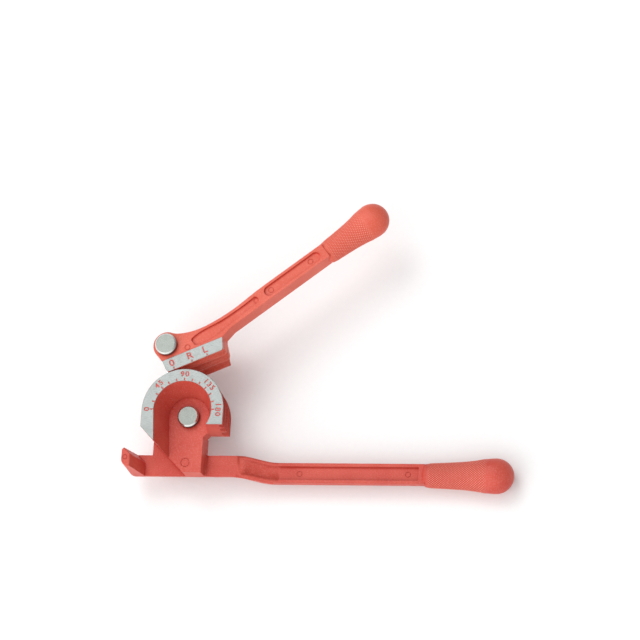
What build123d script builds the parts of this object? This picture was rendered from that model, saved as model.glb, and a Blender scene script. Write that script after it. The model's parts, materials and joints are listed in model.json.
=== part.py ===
"""Lever tube bender for 1/4, 5/16 and 3/8 inch tube, in millimetres.

The bend axis is Z through the origin. The lower handle points along +X, Z = 0 is the back of the
die, and +Z leaves the dial. The link stands part way round the dial, with the shoe resting on it.
"""
import os

from build123d import *

# Further than any part of the tool reaches, for cuts that go right through
BEYOND = 200.0

# Tubes, from the front groove to the back one
TUBE_RADII = (3.175, 3.969, 4.7625)

# Die: dial at the front, flanges that shrink slightly towards the back
DIE_DEPTH = 31.0
DIAL_RADIUS = 29.0
FLANGE_STEP = 0.5
DIE_END_Y = -10.7
DIAGONAL_SUM = -41.3

# Dish in front of the die, and the web that runs down from its floor
DISH_TOP_RADIUS = 20.6
DISH_FLOOR_RADIUS = 14.6
WEB_Z = 10.0
WEB_RIGHT_X = 11.0
WEB_TOP_Y = -12.0
WEB_CHAMFER = 3.1
DISH_END_Y = -44.2
DISH_LEFT_LEAN = 3.1
DISH_RIGHT_FLARE = 3.2
GROOVE_END_Y = -22.4

# Base bar under the die, and the hook at its end
BAR_BACK_Y = -24.4
BAR_FRONT_Y = -39.2
BAR_DEPTH = 6.0
BAR_FILLET = 4.0
OUTER_CORNER = 5.0
CAST_EDGE = 0.7
INNER_CORNER = 2.2
FLOOR_LEFT_X = -26.8
HOOK_HEIGHT = 25.6
HOOK_LEFT_X = -43.4
# Height, left, back, inner face, inner chamfer and outer nick of the hook's foot and top
HOOK_SECTIONS = (
    (0.0, HOOK_LEFT_X, -24.4, -31.6, 5.8, 1.8),
    (HOOK_HEIGHT, HOOK_LEFT_X + 1.0, -26.2, -36.3, 4.3, 1.2),
)

# Lower arm and grip
ARM_CENTRE_Y = -35.0
ARM_WIDTH = 14.2
ARM_TOP_Z = -5.0
ARM_DEPTH = 9.0
LOWER_GRIP_X = 164.5
LOWER_GRIP_Z = -9.5
LOWER_BALL_X = 215.2
LOWER_BALL_RADIUS = 12.4
LOWER_ARM_END_X = 166.0

# Link and where it stands
LINK_LENGTH = 48.4
LINK_ANGLE = 107.6
LINK_WIDTH = 19.0
LINK_THICKNESS = 4.0

# Shoe on the upper handle, measured from its pin
SHOE_ANGLE = 23.2
SHOE_OFFSET = 18.6
SHOE_LEFT = -6.0
SHOE_RIGHT = 36.0
STRIP_HEIGHT = 0.3
SHOE_CORNER = 2.5
SHOE_CLEARANCE_Z = 0.5
STRIP_TOP_Y = -9.6
HANDLE_BOSS_RADIUS = 9.7
SHOE_SHOULDER = (-6.9, -9.0)
SHOE_END_X = 38.4
SHOE_RUNOUT_X = (33.9, 39.4)

# Upper arm and grip, in the shoe's frame
UPPER_ARM_ANGLE = 14.8
UPPER_ARM_START = 45.2
UPPER_ARM_WIDTH = 10.9
UPPER_ARM_DEPTH = 13.5
UPPER_RAIL = 1.8
PANEL_DEPTH = 1.5
PANEL_CORNER = 1.6
OUTER_PANEL = (32.5, 79.5)
OUTER_PANEL_RADIUS = 3.55
# Top edge of the casting from the boss outwards, and where it runs into the straight arm
UPPER_EDGE = ((6.8, 6.9), (19.3, 2.9), (36.6, 3.4), (51.2, 6.2))
UPPER_EDGE_END = 34.0
INNER_PANEL_TOP = ((17.0, -2.5), (27.0, 0.6), (38.0, 1.7), (51.2, 4.2), (70.3, 9.7))
INNER_PANEL_BOTTOM = ((71.5, 5.0), (56.0, 0.0), (42.0, -4.6), (32.0, -7.6), (18.6, -7.8))
UPPER_GRIP_START = 82.5
UPPER_GRIP_Z = 23.5
UPPER_NECK = 7.0
UPPER_BALL_AT = 122.7
UPPER_BALL_RADIUS = 12.1
UPPER_ARM_END = 84.3

# Both grips: a tenon hidden in the arm, a shoulder, and the swell towards the ball
TENON_LENGTH = 7.0
TENON_TAPER = (0.5, 0.75)
GRIP_SHOULDER = (2.5, 1.2)
GRIP_SWELL = ((0.48, 2.3), (0.72, 3.5))
GRIP_FLATTENING = 0.85

# Pins, washers and rings
PIN_RADIUS = 5.0
RUNNING_CLEARANCE = 0.05
HEAD_RADIUS = 7.55
HEAD_HEIGHT = 3.4
HEAD_CHAMFER = 0.9
HEAD_WASHER_RADIUS = 7.4
HEAD_WASHER_THICKNESS = 1.2
WASHER_BORE = 5.1
BACK_WASHER_RADIUS = 8.5
BACK_WASHER_THICKNESS = 0.8
AXIAL_PLAY = 0.2
RING_THICKNESS = 1.0
RING_GROOVE_RADIUS = 4.0
RING_RADIUS = 7.6
RING_TOOTH = 2.4
RING_RELIEF = 5.6
RING_OPENING = 7.0
RING_TOOTH_END = 7.1
PIN_TAIL = 1.2

# How close an edge has to lie to a place to be picked there
NEAR = 0.1

# Worked out
FLANGE = (DIE_DEPTH - 2 * sum(TUBE_RADII)) / 4
FLANGE_RADII = [DIAL_RADIUS - FLANGE_STEP * n for n in range(4)]
BEND_RADII = [(a + b) / 2 for a, b in zip(FLANGE_RADII, FLANGE_RADII[1:])]
CAST_FACE_Z = DIE_DEPTH - STRIP_HEIGHT
LINK_TOP_Z = -AXIAL_PLAY - BACK_WASHER_THICKNESS
LINK_BACK_Z = LINK_TOP_Z - LINK_THICKNESS
RING_TOP_Z = LINK_BACK_Z - AXIAL_PLAY - BACK_WASHER_THICKNESS
RING_BACK_Z = RING_TOP_Z - RING_THICKNESS
PIN_END_Z = RING_BACK_Z - PIN_TAIL
HANDLE_PIN = Vector(LINK_LENGTH, 0, 0).rotate(Axis.Z, LINK_ANGLE)
HANDLE_HEAD_Z = CAST_FACE_Z + AXIAL_PLAY

shoe_plane = Plane(origin=HANDLE_PIN, x_dir=Vector(1, 0, 0).rotate(Axis.Z, SHOE_ANGLE))
shoe_side = Plane(origin=HANDLE_PIN, x_dir=shoe_plane.x_dir, z_dir=-shoe_plane.y_dir)
arm_plane = Plane(
    origin=shoe_plane.from_local_coords(Vector(UPPER_ARM_START, 0, 0)),
    x_dir=shoe_plane.x_dir.rotate(Axis.Z, UPPER_ARM_ANGLE),
)
link_plane = Plane(origin=(0, 0, 0), x_dir=Vector(1, 0, 0).rotate(Axis.Z, LINK_ANGLE))


def groove_centres():
    """Heights of the three grooves' middles, front to back."""
    heights = []
    edge = DIE_DEPTH - FLANGE
    for tube in TUBE_RADII:
        heights.append(edge - tube)
        edge -= 2 * tube + FLANGE
    return heights


def layers():
    """Bottom, top and radius of each flange and each land behind a groove, front to back."""
    edge = DIE_DEPTH
    found = []
    for n, flange_radius in enumerate(FLANGE_RADII):
        found.append((edge - FLANGE, edge, flange_radius))
        edge -= FLANGE
        if n < len(TUBE_RADII):
            found.append((edge - 2 * TUBE_RADII[n], edge, BEND_RADII[n]))
            edge -= 2 * TUBE_RADII[n]
    return found


GROOVE_Z = groove_centres()


def grip_profile(start, ball, ball_radius, neck):
    """Half outline of a grip from its tenon to the end of its ball, along the arm's axis."""
    root = (start - TENON_LENGTH, neck * TENON_TAPER[0])
    mouth = (start, neck * TENON_TAPER[1])
    shoulder = (start + GRIP_SHOULDER[0], neck + GRIP_SHOULDER[1])
    swell = [(start + part * (ball - start), neck + rise) for part, rise in GRIP_SWELL]
    with BuildSketch() as profile:
        with BuildLine():
            Polyline((ball + ball_radius, 0), (root[0], 0), root, mouth)
            Spline(mouth, shoulder, tangents=((0.3, 1), (1, 0.06)))
            Spline(shoulder, *swell, (ball, ball_radius), tangents=((1, 0.06), (1, 0)))
            RadiusArc((ball, ball_radius), (ball + ball_radius, 0), ball_radius)
        make_face()
    return profile.sketch


# ------------------------------------------------------------------ lower handle
ARM_BACK_Y = ARM_CENTRE_Y + ARM_WIDTH / 2
ARM_FRONT_Y = ARM_CENTRE_Y - ARM_WIDTH / 2
ARM_BOTTOM_Z = ARM_TOP_Z - ARM_DEPTH
ARM_START_X = 24.0
# The arm steps sideways and down between these; its front and back outlines start or end sooner
JOG_START_X = 34.0
JOG_END_X = 63.0
JOG_FRONT_X = (30.0, 59.0)
JOG_BOTTOM_X = 28.0
CHANNEL_START_X = 36.5
CHANNEL_END_X = 161.5
CHANNEL_DEPTH = 2.2
CHANNEL_LIP = 0.05
RAIL = 2.3

with BuildPart() as lower_grip:
    with BuildSketch(Plane.XY):
        add(grip_profile(LOWER_GRIP_X, LOWER_BALL_X, LOWER_BALL_RADIUS, ARM_WIDTH / 2))
    revolve(axis=Axis.X)
    scale(by=(1, 1, GRIP_FLATTENING))

with BuildPart() as lower_channel:
    # Recess between the arm's two rails, shallow where it leaves the base bar
    with BuildSketch(Plane.XY.offset(ARM_BOTTOM_Z)):
        with BuildLine():
            Line((CHANNEL_START_X, BAR_FRONT_Y + RAIL), (CHANNEL_START_X, BAR_BACK_Y - RAIL))
            Spline(
                (CHANNEL_START_X, BAR_BACK_Y - RAIL),
                (JOG_END_X, ARM_BACK_Y - RAIL),
                tangents=((1, -0.05), (1, 0)),
            )
            Line((JOG_END_X, ARM_BACK_Y - RAIL), (CHANNEL_END_X, ARM_BACK_Y - RAIL))
            Line((CHANNEL_END_X, ARM_BACK_Y - RAIL), (CHANNEL_END_X, ARM_FRONT_Y + RAIL))
            Line((CHANNEL_END_X, ARM_FRONT_Y + RAIL), (JOG_END_X, ARM_FRONT_Y + RAIL))
            Spline(
                (JOG_END_X, ARM_FRONT_Y + RAIL),
                (CHANNEL_START_X, BAR_FRONT_Y + RAIL),
                tangents=((-1, 0), (-1, 0.05)),
            )
        make_face()
    extrude(amount=BEYOND)
    with BuildSketch(Plane.XZ):
        with BuildLine():
            Line((CHANNEL_START_X, BEYOND), (CHANNEL_START_X, -CHANNEL_LIP))
            Spline(
                (CHANNEL_START_X, -CHANNEL_LIP),
                (JOG_END_X, ARM_TOP_Z - CHANNEL_DEPTH),
                tangents=((1, -0.45), (1, 0)),
            )
            Line((JOG_END_X, ARM_TOP_Z - CHANNEL_DEPTH), (CHANNEL_END_X, ARM_TOP_Z - CHANNEL_DEPTH))
            Line((CHANNEL_END_X, ARM_TOP_Z - CHANNEL_DEPTH), (CHANNEL_END_X, BEYOND))
            Line((CHANNEL_END_X, BEYOND), (CHANNEL_START_X, BEYOND))
        make_face()
    extrude(amount=BEYOND, both=True, mode=Mode.INTERSECT)


def die_plan(radius):
    """Plan of the die and web: an arch on the flange's radius, a diagonal and a square end."""
    with BuildSketch() as plan:
        with BuildLine():
            CenterArc((0, 0), radius, 0, 180)
            Polyline(
                (-radius, 0),
                (-radius, DIAGONAL_SUM + radius),
                (DIAGONAL_SUM - BAR_FRONT_Y, BAR_FRONT_Y),
                (WEB_RIGHT_X, BAR_FRONT_Y),
                (WEB_RIGHT_X, DIE_END_Y - WEB_CHAMFER),
                (WEB_RIGHT_X + WEB_CHAMFER, DIE_END_Y),
                (radius, DIE_END_Y),
                (radius, 0),
            )
        make_face()
    return plan.sketch


with BuildPart() as grooves:
    # The round of each groove over the top of the die, and its straight runs down both sides
    for tube, bend, height in zip(TUBE_RADII, BEND_RADII, GROOVE_Z):
        with BuildSketch(Plane.XZ):
            with Locations((bend, height)):
                Circle(tube)
        revolve(axis=Axis.Z, revolution_arc=180)
        with BuildSketch(Plane.XZ):
            with Locations((bend, height), (-bend, height)):
                Circle(tube)
        extrude(amount=-GROOVE_END_Y)

with BuildPart() as dish:
    # Cone around the pin, then the slanting walls that run down past the web
    with BuildSketch(Plane.XZ):
        Polygon(
            (0, WEB_Z),
            (DISH_FLOOR_RADIUS, WEB_Z),
            (DISH_TOP_RADIUS, DIE_DEPTH),
            (0, DIE_DEPTH),
            align=None,
        )
    revolve(axis=Axis.Z)
    for height in (WEB_Z, DIE_DEPTH):
        rise = (height - WEB_Z) / (DIE_DEPTH - WEB_Z)
        left = DISH_FLOOR_RADIUS + rise * (DISH_TOP_RADIUS - DISH_FLOOR_RADIUS)
        right = WEB_RIGHT_X + WEB_CHAMFER + rise * DISH_RIGHT_FLARE
        with BuildSketch(Plane.XY.offset(height)):
            Polygon(
                (-left, 0),
                (right, 0),
                (right, DISH_END_Y),
                (DISH_LEFT_LEAN - left, DISH_END_Y),
                align=None,
            )
    loft()

with BuildPart() as hook:
    # Post with a chamfered inner back corner, leaning away from the tube as it rises
    for height, left, back, inner, chamfer_at, nick in HOOK_SECTIONS:
        with BuildSketch(Plane.XY.offset(height)) as hook_plan:
            Polygon(
                (left, BAR_FRONT_Y),
                (left, back - nick),
                (left + nick, back),
                (inner - chamfer_at, back),
                (inner, back - chamfer_at),
                (inner, BAR_FRONT_Y),
                align=None,
            )
            fillet(hook_plan.vertices().group_by(Axis.Y)[0].sort_by(Axis.X)[0], OUTER_CORNER)
    loft()
    fillet(hook.edges().group_by(Axis.Z)[-1], CAST_EDGE)

with BuildPart() as base_bar:
    with BuildSketch(Plane.XY) as bar_plan:
        Polygon(
            (HOOK_LEFT_X, BAR_FRONT_Y),
            (HOOK_LEFT_X, BAR_BACK_Y),
            (ARM_START_X, BAR_BACK_Y),
            (ARM_START_X, BAR_FRONT_Y),
            align=None,
        )
        fillet(bar_plan.vertices().group_by(Axis.Y)[0].sort_by(Axis.X)[0], OUTER_CORNER)
    extrude(amount=-BAR_DEPTH)
    long_edges = base_bar.edges().group_by(Axis.Z)[0].filter_by(Axis.X)
    fillet(long_edges, BAR_FILLET)

with BuildPart() as lower_handle:
    # Arm: its plan, which steps sideways, cut to its elevation, which steps down
    with BuildSketch(Plane.XY):
        with BuildLine():
            Line((ARM_START_X, BAR_FRONT_Y), (ARM_START_X, BAR_BACK_Y))
            Line((ARM_START_X, BAR_BACK_Y), (JOG_START_X, BAR_BACK_Y))
            Spline((JOG_START_X, BAR_BACK_Y), (JOG_END_X, ARM_BACK_Y), tangents=((1, 0), (1, 0)))
            Line((JOG_END_X, ARM_BACK_Y), (LOWER_ARM_END_X, ARM_BACK_Y))
            Line((LOWER_ARM_END_X, ARM_BACK_Y), (LOWER_ARM_END_X, ARM_FRONT_Y))
            Line((LOWER_ARM_END_X, ARM_FRONT_Y), (JOG_FRONT_X[1], ARM_FRONT_Y))
            Spline(
                (JOG_FRONT_X[1], ARM_FRONT_Y),
                (JOG_FRONT_X[0], BAR_FRONT_Y),
                tangents=((-1, 0), (-1, 0)),
            )
            Line((JOG_FRONT_X[0], BAR_FRONT_Y), (ARM_START_X, BAR_FRONT_Y))
        make_face()
    extrude(amount=-BEYOND)
    with BuildSketch(Plane.XZ):
        with BuildLine():
            Line((ARM_START_X, 0), (JOG_START_X, 0))
            Spline((JOG_START_X, 0), (JOG_END_X, ARM_TOP_Z), tangents=((1, 0), (1, 0)))
            Line((JOG_END_X, ARM_TOP_Z), (LOWER_ARM_END_X, ARM_TOP_Z))
            Line((LOWER_ARM_END_X, ARM_TOP_Z), (LOWER_ARM_END_X, ARM_BOTTOM_Z))
            Line((LOWER_ARM_END_X, ARM_BOTTOM_Z), (JOG_END_X, ARM_BOTTOM_Z))
            Spline(
                (JOG_END_X, ARM_BOTTOM_Z),
                (JOG_BOTTOM_X, -BAR_DEPTH),
                tangents=((-1, 0), (-1, 0)),
            )
            Line((JOG_BOTTOM_X, -BAR_DEPTH), (ARM_START_X, -BAR_DEPTH))
            Line((ARM_START_X, -BAR_DEPTH), (ARM_START_X, 0))
        make_face()
    extrude(amount=BEYOND, both=True, mode=Mode.INTERSECT)
    along_arm = [edge for edge in lower_handle.edges() if abs(edge.tangent_at(0.5).X) > 0.7]
    fillet([edge for edge in along_arm if edge.center().Z < -BAR_DEPTH + NEAR], BAR_FILLET)
    with Locations((0, ARM_CENTRE_Y, LOWER_GRIP_Z)):
        add(lower_grip.part)
    add(lower_channel.part, mode=Mode.SUBTRACT)

    # Base bar with its rounded back edge, and the floor that carries the die's web
    add(base_bar.part)
    with BuildSketch(Plane.XY):
        with Locations((FLOOR_LEFT_X, WEB_TOP_Y)):
            Rectangle(
                WEB_RIGHT_X - FLOOR_LEFT_X,
                WEB_TOP_Y - BAR_FRONT_Y - BAR_FILLET,
                align=(Align.MIN, Align.MAX),
            )
    extrude(amount=-BAR_DEPTH)

    # Die: flanges and lands, then the grooves, the dish and the pin's bore
    for bottom, top, flange_radius in layers():
        with BuildSketch(Plane.XY.offset(bottom)):
            add(die_plan(flange_radius))
        extrude(amount=top - bottom)
    add(grooves.part, mode=Mode.SUBTRACT)
    add(dish.part, mode=Mode.SUBTRACT)
    add(hook.part)
    with BuildSketch(Plane.XY.offset(-BAR_DEPTH)):
        Circle(PIN_RADIUS)
    extrude(amount=BAR_DEPTH + WEB_Z, mode=Mode.SUBTRACT)
    upright = [
        edge
        for edge in lower_handle.edges().filter_by(Axis.Z)
        if abs(edge.center().X - WEB_RIGHT_X) < NEAR and abs(edge.center().Y - BAR_BACK_Y) < NEAR
    ]
    fillet(upright, INNER_CORNER)
    foot = [
        edge
        for edge in lower_handle.edges().filter_by(Axis.Y)
        if abs(edge.center().X - WEB_RIGHT_X) < NEAR and abs(edge.center().Z) < NEAR
    ]
    fillet(ShapeList(foot).sort_by(SortBy.LENGTH)[-1], INNER_CORNER)


# ------------------------------------------------------------------ upper handle
def upper_plan(face):
    """Plan of the shoe, boss and arm, whose working face is this far from the pin."""
    side = UPPER_ARM_WIDTH / 2
    foot = Vector(UPPER_ARM_START, 0)
    along = Vector(1, 0).rotate(Axis.Z, UPPER_ARM_ANGLE)
    across = Vector(0, side).rotate(Axis.Z, UPPER_ARM_ANGLE)
    with BuildSketch() as plan:
        with BuildLine():
            Polyline(
                UPPER_EDGE[0],
                (-HANDLE_BOSS_RADIUS, 0),
                SHOE_SHOULDER,
                (SHOE_LEFT, -face),
                (SHOE_RIGHT, -face),
                (SHOE_END_X, STRIP_TOP_Y),
                foot - across,
                foot + along * UPPER_ARM_END - across,
                foot + along * UPPER_ARM_END + across,
                foot + along * UPPER_EDGE_END + across,
            )
            Spline(
                foot + along * UPPER_EDGE_END + across,
                *reversed(UPPER_EDGE),
                tangents=(-along, (-1, 0.8)),
            )
        make_face()
        lowest = plan.vertices().group_by(Axis.Y)[0].sort_by(Axis.X)
        fillet(lowest, SHOE_CORNER)
    with BuildSketch() as whole:
        add(plan.sketch)
        Circle(HANDLE_BOSS_RADIUS)
    return whole.sketch


with BuildPart() as upper_grip:
    with BuildSketch(Plane.XY):
        add(grip_profile(UPPER_GRIP_START, UPPER_BALL_AT, UPPER_BALL_RADIUS, UPPER_NECK))
    revolve(axis=Axis.X)
    scale(by=(1, 1, GRIP_FLATTENING))

with BuildPart() as upper_handle:
    # The working face steps back at each groove, as the die's flanges do
    breaks = [CAST_FACE_Z, *GROOVE_Z, SHOE_CLEARANCE_Z]
    for step, (top, bottom) in enumerate(zip(breaks, breaks[1:])):
        with BuildSketch(shoe_plane.offset(bottom)):
            add(upper_plan(SHOE_OFFSET + FLANGE_STEP * step))
        extrude(amount=top - bottom)
    with BuildSketch(shoe_side):
        Polygon(
            (-BEYOND, SHOE_CLEARANCE_Z),
            (SHOE_RUNOUT_X[0], SHOE_CLEARANCE_Z),
            (SHOE_RUNOUT_X[1], CAST_FACE_Z - UPPER_ARM_DEPTH),
            (BEYOND, CAST_FACE_Z - UPPER_ARM_DEPTH),
            (BEYOND, CAST_FACE_Z),
            (-BEYOND, CAST_FACE_Z),
            align=None,
        )
    extrude(amount=BEYOND, both=True, mode=Mode.INTERSECT)
    with BuildSketch(shoe_plane):
        Circle(HANDLE_BOSS_RADIUS)
    extrude(amount=CAST_FACE_Z)
    with BuildSketch(shoe_plane.offset(CAST_FACE_Z)):
        add(upper_plan(SHOE_OFFSET))
        with Locations((0, STRIP_TOP_Y)):
            Rectangle(BEYOND, SHOE_OFFSET, align=(Align.CENTER, Align.MAX), mode=Mode.INTERSECT)
    extrude(amount=STRIP_HEIGHT)
    with Locations(arm_plane.offset(UPPER_GRIP_Z)):
        add(upper_grip.part)

    # Recessed panels in the front of the arm
    with BuildSketch(arm_plane.offset(CAST_FACE_Z - PANEL_DEPTH)):
        with Locations((sum(OUTER_PANEL) / 2, 0)):
            RectangleRounded(
                OUTER_PANEL[1] - OUTER_PANEL[0],
                UPPER_ARM_WIDTH - 2 * UPPER_RAIL,
                OUTER_PANEL_RADIUS,
            )
    extrude(amount=PANEL_DEPTH + STRIP_HEIGHT, mode=Mode.SUBTRACT)
    with BuildSketch(shoe_plane.offset(CAST_FACE_Z - PANEL_DEPTH)) as inner_panel:
        with BuildLine():
            Spline(*INNER_PANEL_TOP)
            Line(INNER_PANEL_TOP[-1], INNER_PANEL_BOTTOM[0])
            Spline(*INNER_PANEL_BOTTOM)
            Line(INNER_PANEL_BOTTOM[-1], INNER_PANEL_TOP[0])
        make_face()
        fillet(inner_panel.vertices(), PANEL_CORNER)
    extrude(amount=PANEL_DEPTH + STRIP_HEIGHT, mode=Mode.SUBTRACT)

    # One round per tube along the working face, and the pin's bore
    for tube, bend, height in zip(TUBE_RADII, BEND_RADII, GROOVE_Z):
        with BuildSketch(Plane(origin=HANDLE_PIN, z_dir=shoe_plane.x_dir, x_dir=-shoe_plane.y_dir)):
            with Locations((LINK_LENGTH - bend, -height)):
                Circle(tube)
        extrude(amount=BEYOND, both=True, mode=Mode.SUBTRACT)
    with BuildSketch(shoe_plane):
        Circle(PIN_RADIUS + RUNNING_CLEARANCE)
    extrude(amount=DIE_DEPTH, mode=Mode.SUBTRACT)


# ------------------------------------------------------------------ link, pins and rings
def pin_section(seat):
    """Half section of a headed pin, head down on the given height, with its ring groove."""
    with BuildSketch() as section:
        Polygon(
            (0, PIN_END_Z),
            (PIN_RADIUS - HEAD_CHAMFER, PIN_END_Z),
            (PIN_RADIUS, PIN_END_Z + HEAD_CHAMFER),
            (PIN_RADIUS, RING_BACK_Z),
            (RING_GROOVE_RADIUS, RING_BACK_Z),
            (RING_GROOVE_RADIUS, RING_TOP_Z),
            (PIN_RADIUS, RING_TOP_Z),
            (PIN_RADIUS, seat),
            (HEAD_RADIUS, seat),
            (HEAD_RADIUS, seat + HEAD_HEIGHT - HEAD_CHAMFER),
            (HEAD_RADIUS - HEAD_CHAMFER, seat + HEAD_HEIGHT),
            (0, seat + HEAD_HEIGHT),
            align=None,
        )
    return section.sketch


def washer_plan(radius):
    """Flat ring with the bore that all the washers share."""
    with BuildSketch() as ring:
        Circle(radius)
        Circle(WASHER_BORE, mode=Mode.SUBTRACT)
    return ring.sketch


def ring_plan():
    """E-shaped retaining ring: an open ring with three teeth that grip the pin's groove."""
    with BuildSketch() as ring:
        Circle(RING_RADIUS)
        Circle(RING_RELIEF, mode=Mode.SUBTRACT)
        with PolarLocations(0, 3, start_angle=0, angular_range=180, endpoint=True):
            Rectangle(RING_TOOTH_END, RING_TOOTH, align=(Align.MIN, Align.CENTER))
        Circle(RING_GROOVE_RADIUS, mode=Mode.SUBTRACT)
        Rectangle(RING_OPENING, RING_RADIUS, align=(Align.CENTER, Align.MAX), mode=Mode.SUBTRACT)
    return ring.sketch


handle_axis = Plane(origin=HANDLE_PIN)

with BuildPart() as link_plate:
    with BuildSketch(link_plane.offset(LINK_BACK_Z)):
        with Locations((LINK_LENGTH / 2, 0)):
            SlotCenterToCenter(LINK_LENGTH, LINK_WIDTH)
        Circle(PIN_RADIUS + RUNNING_CLEARANCE, mode=Mode.SUBTRACT)
        with Locations((LINK_LENGTH, 0)):
            Circle(PIN_RADIUS, mode=Mode.SUBTRACT)
    extrude(amount=LINK_THICKNESS)

with BuildPart() as centre_pin:
    with BuildSketch(Plane.XZ):
        add(pin_section(WEB_Z + HEAD_WASHER_THICKNESS))
    revolve(axis=Axis.Z)

with BuildPart() as handle_pin:
    with BuildSketch(Plane(origin=HANDLE_PIN, z_dir=(0, -1, 0), x_dir=(1, 0, 0))):
        add(pin_section(HANDLE_HEAD_Z + HEAD_WASHER_THICKNESS))
    revolve(axis=Axis(HANDLE_PIN, (0, 0, 1)))

with BuildPart() as centre_head_washer:
    with BuildSketch(Plane.XY.offset(WEB_Z)):
        add(washer_plan(HEAD_WASHER_RADIUS))
    extrude(amount=HEAD_WASHER_THICKNESS)

with BuildPart() as handle_head_washer:
    with BuildSketch(handle_axis.offset(HANDLE_HEAD_Z)):
        add(washer_plan(HEAD_WASHER_RADIUS))
    extrude(amount=HEAD_WASHER_THICKNESS)

with BuildPart() as centre_thrust_washer:
    with BuildSketch(Plane.XY):
        add(washer_plan(BACK_WASHER_RADIUS))
    extrude(amount=-BACK_WASHER_THICKNESS)

with BuildPart() as handle_thrust_washer:
    with BuildSketch(handle_axis.offset(LINK_TOP_Z)):
        add(washer_plan(BACK_WASHER_RADIUS))
    extrude(amount=BACK_WASHER_THICKNESS)

with BuildPart() as centre_back_washer:
    with BuildSketch(Plane.XY.offset(RING_TOP_Z)):
        add(washer_plan(BACK_WASHER_RADIUS))
    extrude(amount=BACK_WASHER_THICKNESS)

with BuildPart() as handle_back_washer:
    with BuildSketch(handle_axis.offset(LINK_BACK_Z)):
        add(washer_plan(BACK_WASHER_RADIUS))
    extrude(amount=-BACK_WASHER_THICKNESS)

with BuildPart() as centre_retaining_ring:
    with BuildSketch(Plane.XY.offset(RING_BACK_Z)):
        add(ring_plan())
    extrude(amount=RING_THICKNESS)

with BuildPart() as handle_retaining_ring:
    with BuildSketch(handle_axis.offset(RING_BACK_Z)):
        add(ring_plan())
    extrude(amount=RING_THICKNESS)

# ------------------------------------------------------------------ export
pieces = {
    "lower_handle": lower_handle,
    "upper_handle": upper_handle,
    "link_plate": link_plate,
    "centre_pin": centre_pin,
    "handle_pin": handle_pin,
    "centre_head_washer": centre_head_washer,
    "handle_head_washer": handle_head_washer,
    "centre_thrust_washer": centre_thrust_washer,
    "handle_thrust_washer": handle_thrust_washer,
    "centre_back_washer": centre_back_washer,
    "handle_back_washer": handle_back_washer,
    "centre_retaining_ring": centre_retaining_ring,
    "handle_retaining_ring": handle_retaining_ring,
}
os.makedirs("parts", exist_ok=True)
for name, piece in pieces.items():
    piece.part.label = name
    export_step(piece.part, f"parts/{name}.step")
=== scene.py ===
"""Manual tube bender: its finish, numerals, grip pattern, camera, light and floor."""
import json
from math import cos, pi, radians, sin, tau

import bmesh
import bpy
from mathutils import Matrix, Vector
from mathutils.bvhtree import BVHTree

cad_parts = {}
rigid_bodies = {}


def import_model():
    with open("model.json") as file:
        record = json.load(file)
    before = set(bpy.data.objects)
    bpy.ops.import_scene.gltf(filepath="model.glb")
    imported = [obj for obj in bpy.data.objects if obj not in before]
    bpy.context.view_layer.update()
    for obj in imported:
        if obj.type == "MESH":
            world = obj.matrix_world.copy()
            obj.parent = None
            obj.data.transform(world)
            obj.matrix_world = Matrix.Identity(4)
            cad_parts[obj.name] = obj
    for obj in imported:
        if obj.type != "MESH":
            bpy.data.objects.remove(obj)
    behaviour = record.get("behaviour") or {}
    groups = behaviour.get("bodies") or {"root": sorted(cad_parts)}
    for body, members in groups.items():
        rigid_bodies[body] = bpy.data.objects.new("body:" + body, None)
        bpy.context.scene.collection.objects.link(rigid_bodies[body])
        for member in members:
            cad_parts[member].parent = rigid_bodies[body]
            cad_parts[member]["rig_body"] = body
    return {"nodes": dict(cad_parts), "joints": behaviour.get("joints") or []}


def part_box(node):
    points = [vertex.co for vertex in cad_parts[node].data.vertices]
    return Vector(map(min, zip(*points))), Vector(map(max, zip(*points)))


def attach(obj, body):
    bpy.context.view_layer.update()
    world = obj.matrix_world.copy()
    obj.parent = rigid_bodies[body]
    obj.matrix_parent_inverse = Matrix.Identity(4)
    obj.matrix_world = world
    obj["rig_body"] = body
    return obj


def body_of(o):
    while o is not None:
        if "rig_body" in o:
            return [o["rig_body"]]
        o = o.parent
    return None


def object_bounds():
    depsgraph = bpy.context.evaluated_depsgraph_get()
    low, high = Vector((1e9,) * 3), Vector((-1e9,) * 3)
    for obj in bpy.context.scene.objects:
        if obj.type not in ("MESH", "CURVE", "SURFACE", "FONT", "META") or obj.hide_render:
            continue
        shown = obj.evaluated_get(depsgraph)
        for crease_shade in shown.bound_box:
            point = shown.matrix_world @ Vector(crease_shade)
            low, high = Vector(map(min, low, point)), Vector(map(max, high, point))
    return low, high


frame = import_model()

MM = 0.001
CAD_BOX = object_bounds()
SCENE = bpy.context.scene
NODES = frame["nodes"]
LOWER = NODES["lower_handle"]
UPPER = NODES["upper_handle"]
PIVOTS = {joint["name"]: Vector(joint["pos_m"]) for joint in frame["joints"]}

# Heights of the faces that numerals and marks are sunk into
STRIP_HEIGHT = 0.3 * MM
PANEL_DEPTH = 1.5 * MM
DIAL_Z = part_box("lower_handle")[1].z
CAST_FACE_Z = DIAL_Z - STRIP_HEIGHT
PANEL_Z = CAST_FACE_Z - PANEL_DEPTH
WEB_Z = 10 * MM
CHANNEL_Z = -7.2 * MM
HOOK_Z = 25.6 * MM

# Frames of the shoe, the upper arm and both grips, each with X along it
SHOE_ANGLE = radians(23.2)
ARM_ANGLE = SHOE_ANGLE + radians(14.8)
ARM_START = Vector((45.2, 0, 0)) * MM
SHOE = Matrix.Translation(PIVOTS["handle_pivot"]) @ Matrix.Rotation(SHOE_ANGLE, 4, "Z")
ARM = Matrix.Translation(SHOE @ ARM_START) @ Matrix.Rotation(ARM_ANGLE, 4, "Z")
LOWER_ARM_Y = -35 * MM
LOWER_GRIP = Matrix.Translation((0, LOWER_ARM_Y, -9.5 * MM))
UPPER_GRIP = ARM @ Matrix.Translation((0, 0, 23.5 * MM))

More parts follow.
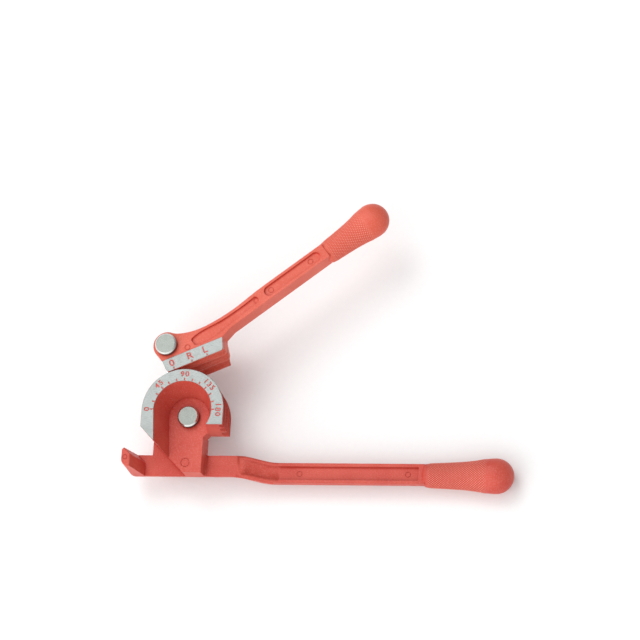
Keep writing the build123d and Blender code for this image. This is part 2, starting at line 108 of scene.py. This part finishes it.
# Parts of the object that are bare metal: above this height, and left of this place
BARE = (DIAL_Z - 0.1 * MM, 40 * MM)

# ------------------------------------------------------------------ camera, light, floor
CAMERA_SIDE = Vector((0.2164, -0.2977, 0.930)).normalized()
CAMERA_AIM = Vector((92.9, 64.9, 30.2)) * MM
CAMERA_DISTANCE = 3.0
VIEW_WIDTH = 442 * MM
SENSOR_WIDTH = 36
TENT_SIDE = Vector((-0.62, -0.75, 0.22))
FLOOR_GAP = 0.1 * MM
FLOOR_HALF = 3


def make_camera():
    """Long lens above the dial, a little to the right and in front, with the lower handle level."""
    data = bpy.data.cameras.new("camera")
    data.sensor_width = SENSOR_WIDTH
    data.lens = SENSOR_WIDTH * CAMERA_DISTANCE / VIEW_WIDTH
    camera = bpy.data.objects.new("camera", data)
    up = CAMERA_SIDE.cross(Vector((1, 0, 0))).normalized()
    right = up.cross(CAMERA_SIDE)
    turn = Matrix((right, up, CAMERA_SIDE)).transposed().to_4x4()
    camera.matrix_world = Matrix.Translation(CAMERA_AIM + CAMERA_SIDE * CAMERA_DISTANCE) @ turn
    SCENE.collection.objects.link(camera)
    SCENE.camera = camera


def make_light(name, place, size, watts):
    """Square soft box that faces the middle of the tool."""
    data = bpy.data.lights.new(name, "AREA")
    data.shape = "SQUARE"
    data.size = size
    data.energy = watts
    light = bpy.data.objects.new(name, data)
    light.location = place
    light.rotation_euler = (CAMERA_AIM - light.location).to_track_quat("-Z", "Y").to_euler()
    SCENE.collection.objects.link(light)


def make_world(dim, bright):
    """Light tent that is brighter on its near left side, so that metal edges catch some light."""
    world = bpy.data.worlds.new("tent")
    world.use_nodes = True
    tree = world.node_tree
    background = tree.nodes["Background"]
    background.inputs["Color"].default_value = (1, 1, 1, 1)
    direction = tree.nodes.new("ShaderNodeTexCoord")
    side = tree.nodes.new("ShaderNodeVectorMath")
    side.operation = "DOT_PRODUCT"
    side.inputs[1].default_value = TENT_SIDE
    spread = tree.nodes.new("ShaderNodeMapRange")
    spread.interpolation_type = "SMOOTHSTEP"
    spread.inputs["From Min"].default_value = -0.7
    spread.inputs["From Max"].default_value = 0.8
    spread.inputs["To Min"].default_value = dim
    spread.inputs["To Max"].default_value = bright
    tree.links.new(direction.outputs["Generated"], side.inputs[0])
    tree.links.new(side.outputs["Value"], spread.inputs["Value"])
    tree.links.new(spread.outputs["Result"], background.inputs["Strength"])
    SCENE.world = world


def make_floor(material):
    """Plain sheet just under the tool's lowest point."""
    data = bpy.data.meshes.new("floor")
    build = bmesh.new()
    bmesh.ops.create_grid(build, x_segments=1, y_segments=1, size=FLOOR_HALF)
    build.to_mesh(data)
    build.free()
    data.materials.append(material)
    floor = bpy.data.objects.new("floor", data)
    floor.location = (0, 0, CAD_BOX[0].z - FLOOR_GAP)
    SCENE.collection.objects.link(floor)


# ------------------------------------------------------------------ materials
# Reds of each casting: its tone, a darker red that is painted shade in creases and grooves, and a paler tone
# for its cloudy variation
LOWER_REDS = ((0.50, 0.050, 0.032, 1), (0.46, 0.014, 0.006, 1), (0.57, 0.078, 0.052, 1))
UPPER_REDS = ((0.62, 0.090, 0.050, 1), (0.58, 0.024, 0.010, 1), (0.68, 0.120, 0.076, 1))
# painted highlight on the high spots of the orange peel
PEEL_HIGHLIGHT = (0.95, 0.55, 0.48, 1)
# painted highlight on the tops of the grip diamonds
DIAMOND_HIGHLIGHT = (0.80, 0.30, 0.22, 1)
GROUND_DARK = (0.20, 0.215, 0.21, 1)
GROUND_LIGHT = (0.32, 0.34, 0.33, 1)
STAIN = (0.17, 0.18, 0.17, 1)
# painted highlight colour for steel chamfers
CHAMFER_HIGHLIGHT = (0.62, 0.63, 0.61, 1)
PAINT_DARK = (0.50, 0.018, 0.006, 1)
PAINT_LIGHT = (0.66, 0.035, 0.014, 1)
BARE_METALLIC = 0.85
CHAMFER_POLISH = 0.15
EDGE_ROUNDING = 0.5 * MM


class Shader:
    """A material and the few node moves that its makers share."""

    def __init__(self, name, **constants):
        self.material = bpy.data.materials.new(name)
        self.material.use_nodes = True
        self.tree = self.material.node_tree
        self.surface = self.tree.nodes["Principled BSDF"]
        self.place = self.tree.nodes.new("ShaderNodeTexCoord").outputs["Object"]
        for key, value in constants.items():
            self.surface.inputs[key.replace("_", " ")].default_value = value

    def node(self, kind, links=(), **settings):
        """New node. links = {input: source}; settings are its properties or its inputs' values."""
        made = self.tree.nodes.new(kind)
        for key, value in settings.items():
            if hasattr(made, key):
                setattr(made, key, value)
            else:
                made.inputs[key.replace("_", " ")].default_value = value
        for socket, source in dict(links).items():
            self.tree.links.new(source, made.inputs[socket])
        return made

    def noise(self, size, detail=3.0, stretch=(1, 1, 1)):
        """Noise whose features are about this size, in metres."""
        spread = self.node("ShaderNodeVectorMath", {0: self.place}, operation="MULTIPLY")
        spread.inputs[1].default_value = stretch
        made = self.node("ShaderNodeTexNoise", {"Vector": spread.outputs[0]}, Scale=1 / size)
        made.inputs["Detail"].default_value = detail
        return made.outputs["Fac"]

    def ramp(self, source, low, high, start=0.0, end=1.0):
        """Source between low and high, mapped to start and end, and clamped there."""
        made = self.node("ShaderNodeMapRange", {"Value": source})
        made.inputs["From Min"].default_value = low
        made.inputs["From Max"].default_value = high
        made.inputs["To Min"].default_value = start
        made.inputs["To Max"].default_value = end
        return made.outputs["Result"]

    def feed(self, sockets, values):
        """Each socket takes its value, or a link from it where it is a socket itself."""
        for socket, value in zip(sockets, values):
            if isinstance(value, bpy.types.NodeSocket):
                self.tree.links.new(value, socket)
            else:
                socket.default_value = value

    def blend(self, factor, first, second):
        """Colour between two colours, each a value or a socket."""
        made = self.node("ShaderNodeMix", data_type="RGBA")
        colour_a, colour_b = (socket for socket in made.inputs if socket.type == "RGBA")
        self.feed((made.inputs[0], colour_a, colour_b), (factor, first, second))
        return next(socket for socket in made.outputs if socket.type == "RGBA")

    def maths(self, operation, first, second):
        """Two values, each a number or a socket, joined by a Math node."""
        made = self.node("ShaderNodeMath", operation=operation)
        self.feed(made.inputs, (first, second))
        return made.outputs[0]

    def link(self, source, name):
        self.tree.links.new(source, self.surface.inputs[name])

    def bump(self, source, height, rounding=0.0):
        """Relief of this height from the source, over edges softened by the rounding."""
        made = self.node("ShaderNodeBump", {"Height": source})
        if rounding:
            edge = self.node("ShaderNodeBevel", samples=4, Radius=rounding)
            self.tree.links.new(edge.outputs["Normal"], made.inputs["Normal"])
        made.inputs["Strength"].default_value = 1.0
        made.inputs["Distance"].default_value = height
        self.link(made.outputs["Normal"], "Normal")


def powder_coat(name, tone, shade_red, pale, bare=None, diamonds=False):
    """Red powder coat over a casting, with painted shade in its creases. bare = (lowest z, highest x) of its
    ground faces.

    With diamonds, the mesh's "raise" attribute sets painted shade in the grooves and a painted highlight on
    the tops.
    """
    look = Shader(name, IOR=1.45, Specular_IOR_Level=0.32)
    cloud = look.noise(22 * MM, 2.0)
    peel = look.noise(0.8 * MM, 3.0)
    colour = look.blend(look.ramp(cloud, 0.35, 0.65), tone, pale)
    # painted shade: the paint turns to the darker red in creases and recesses that ambient occlusion finds
    crease_shade = look.node("ShaderNodeAmbientOcclusion", Distance=1.6 * MM).outputs["AO"]
    colour = look.blend(look.ramp(crease_shade, 0.45, 0.95), shade_red, colour)
    # painted highlight: pale pink glints on the orange peel's high spots
    colour = look.blend(look.ramp(peel, 0.45, 0.75, 0.0, 0.14), colour, PEEL_HIGHLIGHT)
    if diamonds:
        height = look.node("ShaderNodeAttribute", attribute_name="raise").outputs["Fac"]
        # painted highlight on the diamond tops, then painted shade in the grooves between them
        lit_tops = look.blend(look.ramp(height, 0.45, 0.95), colour, DIAMOND_HIGHLIGHT)
        colour = look.blend(look.ramp(height, 0.0, 0.55), shade_red, lit_tops)
    rough = look.ramp(peel, 0.3, 0.7, 0.38, 0.52)
    if bare:
        xyz = look.node("ShaderNodeSeparateXYZ", {0: look.place})
        high = look.maths("GREATER_THAN", xyz.outputs["Z"], bare[0])
        near = look.maths("LESS_THAN", xyz.outputs["X"], bare[1])
        mask = look.maths("MULTIPLY", high, near)
        lines = look.noise(0.35 * MM, 2.0, (0.25, 1.4, 1))
        stain = look.noise(6 * MM, 3.0)
        metal = look.blend(look.ramp(lines, 0.3, 0.7), GROUND_DARK, GROUND_LIGHT)
        metal = look.blend(look.ramp(stain, 0.5, 0.75, 0.0, 0.35), metal, STAIN)
        colour = look.blend(mask, colour, metal)
        shine = look.ramp(lines, 0.3, 0.7, 0.30, 0.46)
        painted = look.maths("SUBTRACT", 1.0, mask)
        rough = look.maths("ADD", look.maths("MULTIPLY", shine, mask), look.maths("MULTIPLY", rough, painted))
        look.link(look.maths("MULTIPLY", mask, BARE_METALLIC), "Metallic")
    look.link(colour, "Base Color")
    look.link(rough, "Roughness")
    look.bump(peel, 0.05 * MM, EDGE_ROUNDING)
    return look.material


def index_paint():
    """Red enamel wiped into the numerals."""
    look = Shader("index_paint", Coat_Weight=0.3)
    grain = look.noise(0.4 * MM)
    look.link(look.blend(look.ramp(grain, 0.3, 0.7), PAINT_DARK, PAINT_LIGHT), "Base Color")
    look.link(look.ramp(grain, 0.3, 0.7, 0.35, 0.55), "Roughness")
    look.bump(grain, 0.03 * MM)
    return look.material


def steel(name, dark, light, low, high, grain_size, relief, stretch=(1, 1, 1)):
    """Bare or plated steel with a grain of the given size, smoother on chamfers, where a paler colour is a
    painted highlight.
    """
    look = Shader(name, Metallic=1.0)
    facing = look.node("ShaderNodeNewGeometry").outputs["Normal"]
    lean = look.maths("ABSOLUTE", look.node("ShaderNodeSeparateXYZ", {0: facing}).outputs["Z"], 0.0)
    chamfer = look.maths("MULTIPLY", look.ramp(lean, 0.97, 0.90), look.ramp(lean, 0.3, 0.5))
    grain = look.noise(grain_size, 4.0, stretch)
    patch = look.noise(grain_size * 9, 2.0)
    colour = look.blend(look.ramp(grain, 0.3, 0.7), dark, light)
    colour = look.blend(look.ramp(patch, 0.45, 0.75, 0.0, 0.4), colour, dark)
    # painted highlight: chamfers take a paler grey
    look.link(look.blend(chamfer, colour, CHAMFER_HIGHLIGHT), "Base Color")
    rough = look.ramp(grain, 0.3, 0.7, low, high)
    look.link(look.maths("SUBTRACT", rough, look.maths("MULTIPLY", chamfer, CHAMFER_POLISH)), "Roughness")
    look.bump(grain, relief)
    return look.material


def black_washer():
    """Black nylon with a fine moulded grain; its black also stands in for painted shade in the gap under each
    pin head.
    """
    look = Shader("black_nylon_and_gap_shade")
    grain = look.noise(0.3 * MM)
    look.link(look.blend(grain, (0.006, 0.006, 0.007, 1), (0.03, 0.03, 0.032, 1)), "Base Color")
    look.link(look.ramp(grain, 0.3, 0.7, 0.35, 0.6), "Roughness")
    look.bump(grain, 0.02 * MM)
    return look.material


def pale_floor():
    """Seamless paper."""
    look = Shader("paper", Roughness=0.9)
    fibre = look.noise(3 * MM)
    look.link(look.blend(fibre, (0.86, 0.86, 0.86, 1), (0.90, 0.90, 0.90, 1)), "Base Color")
    return look.material


def dress(node, material):
    """The material takes every slot of the node."""
    mesh = NODES[node].data
    mesh.materials.clear()
    mesh.materials.append(material)


# ------------------------------------------------------------------ sunk numerals and marks
MARK_DEPTH = 0.25 * MM
MARK_PROUD = 0.6 * MM
DIGIT_HEIGHT = 3.6 * MM
LETTER_HEIGHT = 4.7 * MM
FONT_CAP = 0.69
LETTER_SWELL = 0.07 * MM
LETTER_STRETCH = 1.1
LETTER_SPACING = 1.2
DIGIT_RADIUS = 25.5 * MM
TICK_INNER = 20.9 * MM
TICK_OUTER = 22.7 * MM
TICK_WIDTH = 0.8 * MM
DEGREES_PER_TICK = 15
TICKS_PER_NUMBER = 3
LETTER_Y = -13.4 * MM
SHOE_TICK_Y = -18.2 * MM
SHOE_TICK_LENGTH = 1.4 * MM
SHOE_TICK_SHIFT = 0.3
SHOE_LETTERS = (("0", -0.7), ("R", 12.7), ("L", 24.1))
WEB_RING = 3.1 * MM
ARM_RING = 2.0 * MM
HOOK_RING = 1.7 * MM
RING_WIDTH = 0.35 * MM
RING_STEPS = 40
SEAM = 0.001 * MM


def add_mesh(target, source, transform):
    """Source's faces join the bmesh target, moved by the transform."""
    source.transform(transform)
    target.from_mesh(source)
    bpy.data.meshes.remove(source)


def cut_text(target, words, height, place):
    """Solid letters, centred on place and standing across the face that they sink into."""
    curve = bpy.data.curves.new("letters", "FONT")
    curve.body = words
    curve.size = height / FONT_CAP
    curve.align_x = "CENTER"
    curve.extrude = (MARK_DEPTH + MARK_PROUD) / 2
    curve.offset = LETTER_SWELL
    curve.space_character = LETTER_SPACING
    curve.resolution_u = 4
    holder = bpy.data.objects.new("letters", curve)
    SCENE.collection.objects.link(holder)
    graph = bpy.context.evaluated_depsgraph_get()
    solid = bpy.data.meshes.new_from_object(holder.evaluated_get(graph))
    bpy.data.objects.remove(holder)
    bpy.data.curves.remove(curve)
    centre = Matrix.Translation((0, -height / 2, (MARK_PROUD - MARK_DEPTH) / 2))
    add_mesh(target, solid, place @ centre @ Matrix.Diagonal((LETTER_STRETCH, 1, 1, 1)))


def cut_bar(target, length, width, place):
    """Bar along place's Y, from its origin, standing across the face that it sinks into."""
    made = bmesh.ops.create_cube(target, size=1)["verts"]
    size = Matrix.Diagonal((width, length, MARK_DEPTH + MARK_PROUD, 1))
    shift = Matrix.Translation((0, length / 2, (MARK_PROUD - MARK_DEPTH) / 2))
    bmesh.ops.transform(target, matrix=place @ shift @ size, verts=made)


def cut_ring(target, radius, place):
    """Narrow ring groove that an ejector pin leaves in a casting."""
    inner = radius - RING_WIDTH
    section = ((inner, -MARK_DEPTH), (radius, -MARK_DEPTH), (radius, MARK_PROUD), (inner, MARK_PROUD))
    angles = [tau * n / RING_STEPS for n in range(RING_STEPS)]
    loops = []
    for reach, height in section:
        points = [Vector((reach * cos(angle), reach * sin(angle), height)) for angle in angles]
        loops.append([target.verts.new(place @ point) for point in points])
    for near, far in zip(loops, loops[1:] + loops[:1]):
        for n in range(RING_STEPS):
            m = (n + 1) % RING_STEPS
            target.faces.new((near[n], near[m], far[m], far[n]))


def sink(node, name, target, material):
    """The bmesh's solids are cut out of the node, and their walls carry the material."""
    bmesh.ops.remove_doubles(target, verts=target.verts, dist=2 * SEAM)
    bmesh.ops.recalc_face_normals(target, faces=target.faces)
    data = bpy.data.meshes.new(name)
    target.to_mesh(data)
    target.free()
    data.materials.append(material)
    cutter = bpy.data.objects.new(name, data)
    SCENE.collection.objects.link(cutter)
    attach(cutter, body_of(node)[0])
    cutter.hide_render = True
    cutter.hide_viewport = True
    weld = node.modifiers.new("close_seams", "WELD")
    weld.merge_threshold = SEAM
    cut = node.modifiers.new(name, "BOOLEAN")
    cut.operation = "DIFFERENCE"
    cut.solver = "EXACT"
    cut.object = cutter
    cut.material_mode = "TRANSFER"
    cut.use_self = True


def at(x, y, z, angle=0.0):
    """Place at this point, turned about Z."""
    return Matrix.Translation((x, y, z)) @ Matrix.Rotation(angle, 4, "Z")


def dial_marks():
    """Degree scale round the dial: a tick every 15 degrees and a number every 45."""
    marks = bmesh.new()
    for step in range(180 // DEGREES_PER_TICK + 1):
        degrees = step * DEGREES_PER_TICK
        outward = at(0, 0, DIAL_Z, pi / 2 - radians(degrees))
        cut_bar(marks, TICK_OUTER - TICK_INNER, TICK_WIDTH, outward @ at(0, TICK_INNER, 0))
        if step % TICKS_PER_NUMBER == 0:
            cut_text(marks, str(degrees), DIGIT_HEIGHT, outward @ at(0, DIGIT_RADIUS, 0))
    return marks


def shoe_marks():
    """Index letters along the shoe's strip, each with a tick at the working edge."""
    marks = bmesh.new()
    for letter, x in SHOE_LETTERS:
        cut_text(marks, letter, LETTER_HEIGHT, SHOE @ at(x * MM, LETTER_Y, DIAL_Z))
        tick = SHOE @ at((x + SHOE_TICK_SHIFT) * MM, SHOE_TICK_Y, DIAL_Z)
        cut_bar(marks, SHOE_TICK_LENGTH, TICK_WIDTH, tick)
    return marks


def lower_ring_marks():
    """Ejector rings on the web, in the arm's channel and on the hook."""
    marks = bmesh.new()
    cut_ring(marks, WEB_RING, at(-0.6 * MM, -32.2 * MM, WEB_Z))
    for x in (77.3, 153.9):
        cut_ring(marks, ARM_RING, at(x * MM, LOWER_ARM_Y, CHANNEL_Z))
    cut_ring(marks, HOOK_RING, at(-39.6 * MM, -32.9 * MM, HOOK_Z))
    return marks


def upper_ring_marks():
    """Ejector rings in the arm's panels and beside the boss."""
    marks = bmesh.new()
    for x in (25.0, 37.6, 71.3):
        cut_ring(marks, ARM_RING, ARM @ at(x * MM, 0, PANEL_Z))
    cut_ring(marks, ARM_RING, SHOE @ at(13.2 * MM, -7.0 * MM, CAST_FACE_Z))
    return marks


# ------------------------------------------------------------------ grip pattern
DIAMONDS_ROUND = 36
DIAMOND_LENGTH = 1.9 * MM
DIAMOND_HEIGHT = 0.34 * MM
DIAMOND_SINK = 0.04 * MM
DIAMOND_SLOPE = 0.8
PLAIN_RAISE = 0.5
SAMPLES = 8
LOWER_PATTERN = (167 * MM, 211 * MM)
UPPER_PATTERN = (85 * MM, 119 * MM)
# Diamonds over which the pattern rises at its neck end and dies away at its ball end
FADE_IN = 1.5
FADE_OUT = 2.5


def smooth(x):
    """0 to 1 with level ends, as x goes from 0 to 1."""
    x = min(max(x, 0.0), 1.0)
    return x * x * (3 - 2 * x)


def groove_distance(turns):
    """0 on a groove, 1 half way to the next."""
    return 1 - 2 * abs(turns % 1 - 0.5)


def grip_pattern(name, node, body, axis, start, end, material):
    """Sleeve of low diamonds that follows the grip's surface between two stations of its axis."""
    surface = BVHTree.FromObject(node, bpy.context.evaluated_depsgraph_get())
    rows = round((end - start) / DIAMOND_LENGTH * SAMPLES)
    columns = DIAMONDS_ROUND * SAMPLES
    build = bmesh.new()
    raised = build.verts.layers.float.new("raise")
    sleeve = []
    for row in range(rows + 1):
        along = start + (end - start) * row / rows
        centre = axis @ Vector((along, 0, 0))
        fade = smooth(row / SAMPLES / FADE_IN) * smooth((rows - row) / SAMPLES / FADE_OUT)
        ring = []
        for column in range(columns):
            angle = tau * column / columns
            outward = (axis @ Vector((along, cos(angle), sin(angle))) - centre).normalized()
            hit = surface.ray_cast(centre, outward)[0]
            turns = DIAMONDS_ROUND * column / columns
            walk = along / DIAMOND_LENGTH
            nearest = min(groove_distance(turns + walk), groove_distance(turns - walk))
            rise = smooth(nearest / DIAMOND_SLOPE)
            point = build.verts.new(hit + outward * (DIAMOND_HEIGHT * rise * fade - DIAMOND_SINK))
            point[raised] = rise * fade + PLAIN_RAISE * (1 - fade)
            ring.append(point)
        sleeve.append(ring)
    for near, far in zip(sleeve, sleeve[1:]):
        for n in range(columns):
            m = (n + 1) % columns
            build.faces.new((near[n], near[m], far[m], far[n]))
    bmesh.ops.recalc_face_normals(build, faces=build.faces)
    data = bpy.data.meshes.new(name)
    build.to_mesh(data)
    build.free()
    data.materials.append(material)
    data.shade_smooth()
    piece = bpy.data.objects.new(name, data)
    SCENE.collection.objects.link(piece)
    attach(piece, body)


# ------------------------------------------------------------------ put together
make_camera()
SCENE.view_settings.view_transform = "Standard"
make_world(0.36, 1.38)
make_light("key", Vector((-0.5, 0.9, 1.6)), 1.0, 11)
make_light("fill", Vector((-0.9, -1.1, 1.2)), 1.4, 6)
make_floor(pale_floor())

red_lower = powder_coat("red_coat_lower", *LOWER_REDS, BARE)
red_upper = powder_coat("red_coat_upper", *UPPER_REDS, BARE)
grip_lower = powder_coat("red_grip_lower", *LOWER_REDS, diamonds=True)
grip_upper = powder_coat("red_grip_upper", *UPPER_REDS, diamonds=True)
pin_steel = steel(
    "turned_steel", (0.16, 0.175, 0.16, 1), (0.31, 0.33, 0.31, 1), 0.32, 0.5, 0.45 * MM, 0.03 * MM
)
zinc = steel(
    "zinc_plate", (0.50, 0.52, 0.54, 1), (0.70, 0.72, 0.73, 1), 0.28, 0.42, 0.8 * MM, 0.015 * MM, (0.3, 1, 1)
)
dark_ring = steel(
    "phosphated_steel", (0.05, 0.05, 0.055, 1), (0.14, 0.14, 0.15, 1), 0.4, 0.6, 0.4 * MM, 0.01 * MM
)
# head washers: black nylon whose black is partly painted shade under the pin heads
washer = black_washer()
paint = index_paint()

dress("lower_handle", red_lower)
dress("upper_handle", red_upper)
dress("link_plate", zinc)
for where in ("centre", "handle"):
    dress(f"{where}_pin", pin_steel)
    dress(f"{where}_head_washer", washer)
    dress(f"{where}_thrust_washer", zinc)
    dress(f"{where}_back_washer", zinc)
    dress(f"{where}_retaining_ring", dark_ring)

grip_pattern("lower_grip_pattern", LOWER, "base", LOWER_GRIP, *LOWER_PATTERN, grip_lower)
grip_pattern("upper_grip_pattern", UPPER, "handle", UPPER_GRIP, *UPPER_PATTERN, grip_upper)

sink(LOWER, "dial_marks", dial_marks(), paint)
sink(UPPER, "shoe_marks", shoe_marks(), paint)
sink(LOWER, "lower_ring_marks", lower_ring_marks(), red_lower)
sink(UPPER, "upper_ring_marks", upper_ring_marks(), red_upper)
